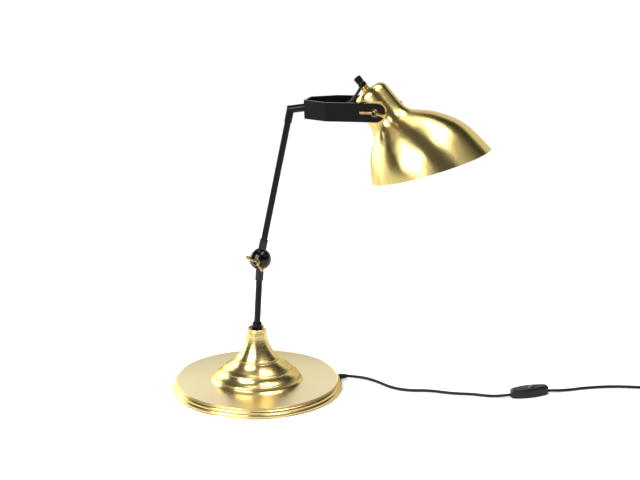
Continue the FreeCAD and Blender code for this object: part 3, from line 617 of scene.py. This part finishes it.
def shade_skin(bm, inset):
    """One skin of the shade, each line of its mesh running from the end to the rim."""
    uv = bm.loops.layers.uv.verify()
    profile = shade_line(inset)
    lengths = [0.0]
    for before, after in zip(profile, profile[1:]):
        lengths.append(lengths[-1] + math.dist(before, after))
    neck_rows = next(k for k, (r, z) in enumerate(profile) if z > BELL_FROM)
    columns = []
    for i in range(SHADE_SEGMENTS):
        turn = math.tau * i / SHADE_SEGMENTS
        start = lengths[neck_rows]
        span = distance_to_rim(profile, lengths, turn) - start
        distances = lengths[:neck_rows] + [start + span * j / BELL_ROWS for j in range(BELL_ROWS + 1)]
        column = []
        for distance in distances:
            r, z = point_along(profile, lengths, distance)
            vert = bm.verts.new((r * MM * math.cos(turn), r * MM * math.sin(turn), z * MM))
            column.append((vert, distance * MM))
        columns.append(column)
    for i, left in enumerate(columns):
        right = columns[(i + 1) % SHADE_SEGMENTS]
        for j in range(len(left) - 1):
            corners = (left[j], right[j], right[j + 1], left[j + 1])
            face = bm.faces.new([vert for vert, distance in corners])
            for loop, u, (vert, distance) in zip(face.loops, (i, i + 1, i + 1, i), corners):
                loop[uv].uv = (u / SHADE_SEGMENTS, distance)
    return columns


def add_shade():
    """Outer and inner skins, joined round the hole in the end and along the slanting rim."""
    bm = bmesh.new()
    outer = shade_skin(bm, 0.0)
    inner = shade_skin(bm, SHADE_WALL)
    for i in range(SHADE_SEGMENTS):
        n = (i + 1) % SHADE_SEGMENTS
        for row in (0, -1):
            bm.faces.new([column[row][0] for column in (outer[i], inner[i], inner[n], outer[n])])
    bmesh.ops.recalc_face_normals(bm, faces=bm.faces)
    bm.transform(Matrix.Translation(PIVOT * MM) @ Matrix.Rotation(math.radians(SHADE_TILT), 4, "Y"))
    piece = mesh_object("shade_piece", bm, MATERIALS["brass"], SHARP_BEND_SHADE)
    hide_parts("shade")
    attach(piece, "head")


add_base_shell()
add_base_neck()
add_neck_cup()
add_shade()
for node_name, obj in NODES.items():
    if not obj.hide_render:
        paint_node(node_name)


# ---------------------------------------------------------------- floor and light
def add_floor():
    """A round of pale floor, with the same white beyond it."""
    bm = bmesh.new()
    bmesh.ops.create_circle(bm, cap_ends=True, segments=FLOOR_SEGMENTS, radius=FLOOR_R)
    mesh = bpy.data.meshes.new("floor")
    bm.to_mesh(mesh)
    bm.free()
    floor = link(bpy.data.objects.new("floor", mesh))
    floor.location = FLOOR_AT
    paint = Paint("floor", 0.7, 0.0, Emission_Color=(1, 1, 1, 1), Emission_Strength=FLOOR_GLOW)
    paint.colour(paint.noise(scale=3.0, detail=2.0), [(0.3, (0.90, 0.90, 0.90)), (0.7, (0.92, 0.92, 0.92))])
    mesh.materials.append(paint.mat)


def studio_direction(azimuth, elevation):
    """A unit vector; azimuth 0 is towards the viewer's side and 90 to the right of the lamp."""
    turn = math.radians(azimuth + CAMERA_YAW - 90)
    rise = math.radians(elevation)
    return Vector((math.cos(turn) * math.cos(rise), math.sin(turn) * math.cos(rise), math.sin(rise)))


def add_softbox(name, azimuth, elevation, distance, width, height, radiance):
    """A rectangular light that faces the middle of the lamp."""
    data = bpy.data.lights.new(name, "AREA")
    data.shape = "RECTANGLE"
    data.size = width
    data.size_y = height
    data.energy = radiance * math.pi * width * height
    lamp = link(bpy.data.objects.new(name, data))
    direction = studio_direction(azimuth, elevation)
    lamp.location = LIGHTS_AIM_AT + direction * distance
    lamp.rotation_euler = (-direction).to_track_quat("-Z", "Y").to_euler()


def add_world():
    """A white backdrop that stands higher at the rear, and a dark room above it."""
    world = bpy.data.worlds.new("studio")
    bpy.context.scene.world = world
    world.use_nodes = True
    tree = world.node_tree
    coords = tree.nodes.new("ShaderNodeTexCoord")
    split = tree.nodes.new("ShaderNodeSeparateXYZ")
    rear = tree.nodes.new("ShaderNodeVectorMath")
    rear.operation = "DOT_PRODUCT"
    rear.inputs[1].default_value = studio_direction(180, 0) * -BACKDROP_REAR_RISE
    only_rear = tree.nodes.new("ShaderNodeMath")
    only_rear.operation = "MINIMUM"
    only_rear.inputs[1].default_value = 0.0
    height = tree.nodes.new("ShaderNodeMath")
    height.operation = "ADD"
    spread = tree.nodes.new("ShaderNodeMapRange")
    spread.inputs["From Min"].default_value = -1.0
    spread.inputs["From Max"].default_value = 1.0
    ramp = tree.nodes.new("ShaderNodeValToRGB")
    tree.links.new(coords.outputs["Generated"], split.inputs["Vector"])
    tree.links.new(coords.outputs["Generated"], rear.inputs[0])
    tree.links.new(split.outputs["Z"], height.inputs[0])
    tree.links.new(rear.outputs["Value"], only_rear.inputs[0])
    tree.links.new(only_rear.outputs["Value"], height.inputs[1])
    tree.links.new(height.outputs["Value"], spread.inputs["Value"])
    tree.links.new(spread.outputs["Result"], ramp.inputs["Fac"])
    stops = ramp.color_ramp.elements
    while len(stops) < len(WORLD_STOPS):
        stops.new(0.5)
    for stop, (place, level) in zip(stops, WORLD_STOPS):
        stop.position = place
        stop.color = (level, level, level, 1)
    tree.links.new(ramp.outputs["Color"], tree.nodes["Background"].inputs["Color"])


add_floor()
add_world()
for box, setting in SOFTBOXES.items():
    add_softbox(box, *setting)
bpy.context.scene.view_settings.view_transform = "Standard"
